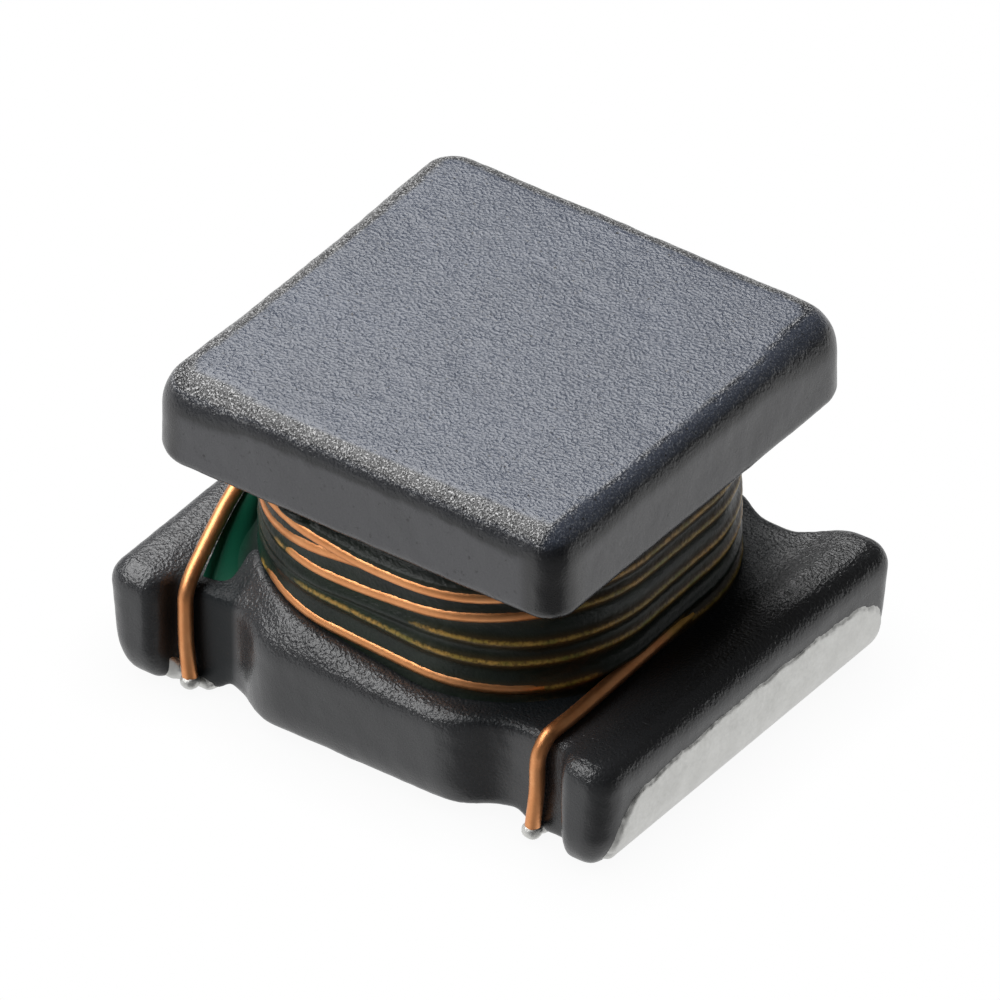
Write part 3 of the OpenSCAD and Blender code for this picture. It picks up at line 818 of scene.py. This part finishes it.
# ---------------------------------------------------------------- floor, light, camera
scene = bpy.context.scene
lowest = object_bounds()[0].z


def area_light(name, direction, distance, wide, high, watts, along):
    data = bpy.data.lights.new(name, "AREA")
    data.shape = "RECTANGLE"
    data.size, data.size_y = wide * MM, high * MM
    data.energy = watts
    obj = bpy.data.objects.new(name, data)
    d = Vector(direction).normalized()
    obj.location = Vector((0, along, 1)) * MM + d * distance * MM
    obj.rotation_euler = (-d).to_track_quat("-Z", "Y").to_euler()
    scene.collection.objects.link(obj)


area_light("left_strip", (-0.56, 0, 0.83), 40, 92, 26, 0.0375, along=-11)

# The part mirrors a studio that is pale below and grey above. The camera itself sees plain white.
world = bpy.data.worlds.new("studio")
scene.world = world
world.use_nodes = True
wt = world.node_tree
wt.nodes.clear()
wout = wt.nodes.new("ShaderNodeOutputWorld")
back = wt.nodes.new("ShaderNodeBackground")
sky = wt.nodes.new("ShaderNodeTexCoord")
split = wt.nodes.new("ShaderNodeSeparateXYZ")
wt.links.new(sky.outputs["Generated"], split.inputs[0])
height = wt.nodes.new("ShaderNodeMapRange")
height.inputs["From Min"].default_value = -1
height.inputs["From Max"].default_value = 1
wt.links.new(split.outputs["Z"], height.inputs["Value"])
pale_below = [(0.3, (0.92,) * 3), (0.46, (0.80,) * 3), (0.54, (0.13,) * 3), (1.0, (0.09,) * 3)]
glow = ramp_node(wt, height.outputs["Result"], pale_below)
turned = wt.nodes.new("ShaderNodeVectorMath")
turned.operation = "DOT_PRODUCT"
turned.inputs[1].default_value = (0.70, -0.714, 0)
wt.links.new(sky.outputs["Generated"], turned.inputs[0])
front = ramp_node(wt, turned.outputs["Value"], [(0.42, (1,) * 3), (0.66, (0.25,) * 3)])
seen = wt.nodes.new("ShaderNodeLightPath")
studio = colour_mix(wt, 1.0, glow, front, "MULTIPLY")
wt.links.new(colour_mix(wt, seen.outputs["Is Camera Ray"], studio, (1, 1, 1)), back.inputs["Color"])
wt.links.new(back.outputs[0], wout.inputs[0])

# White floor, clear from below, with a faint shadow where it is close to the part.
floor_size, floor_gap = 600, 0.0005
shadow_reach, shadow_tone = 0.4, 0.93
corner = floor_size / 2
floor_plan = [(-corner, -corner, 0), (corner, -corner, 0), (corner, corner, 0), (-corner, corner, 0)]
floor = mesh_object("floor", floor_plan, [(0, 1, 2, 3)])
floor.location.z = lowest - floor_gap * MM
fmat = bpy.data.materials.new("floor")
fmat.use_nodes = True
ft = fmat.node_tree
ft.nodes.clear()
fout = ft.nodes.new("ShaderNodeOutputMaterial")
fglow = ft.nodes.new("ShaderNodeEmission")
fglow.inputs["Color"].default_value = (1, 1, 1, 1)
near = ft.nodes.new("ShaderNodeAmbientOcclusion")
near.inputs["Distance"].default_value = shadow_reach * MM
shade = ft.nodes.new("ShaderNodeMapRange")
shade.inputs["To Min"].default_value = shadow_tone
ft.links.new(near.outputs["AO"], shade.inputs["Value"])
ft.links.new(shade.outputs["Result"], fglow.inputs["Strength"])
under = ft.nodes.new("ShaderNodeNewGeometry")
clear = ft.nodes.new("ShaderNodeBsdfTransparent")
either = ft.nodes.new("ShaderNodeMixShader")
ft.links.new(under.outputs["Backfacing"], either.inputs[0])
ft.links.new(fglow.outputs[0], either.inputs[1])
ft.links.new(clear.outputs[0], either.inputs[2])
ft.links.new(either.outputs[0], fout.inputs[0])
floor.data.materials.append(fmat)
floor.visible_diffuse = False
floor.visible_glossy = False

view_direction = Vector((0.4715, -0.6506, 0.5954)).normalized()
view_distance, sensor = 200, 36        # both in millimetres
picture_width = 4.92                  # millimetres across the picture at the part's middle
picture_rise = 0.1602
cam = bpy.data.cameras.new("camera")
cam.sensor_width = sensor
cam.lens = sensor * view_distance / picture_width
cam.shift_y = picture_rise
cam.clip_start, cam.clip_end = 0.05, 2
camera = bpy.data.objects.new("camera", cam)
camera.location = view_direction * view_distance * MM
camera.rotation_mode = "QUATERNION"
camera.rotation_quaternion = (-view_direction).to_track_quat("-Z", "Y")
scene.collection.objects.link(camera)
scene.camera = camera
scene.view_settings.view_transform = "Standard"
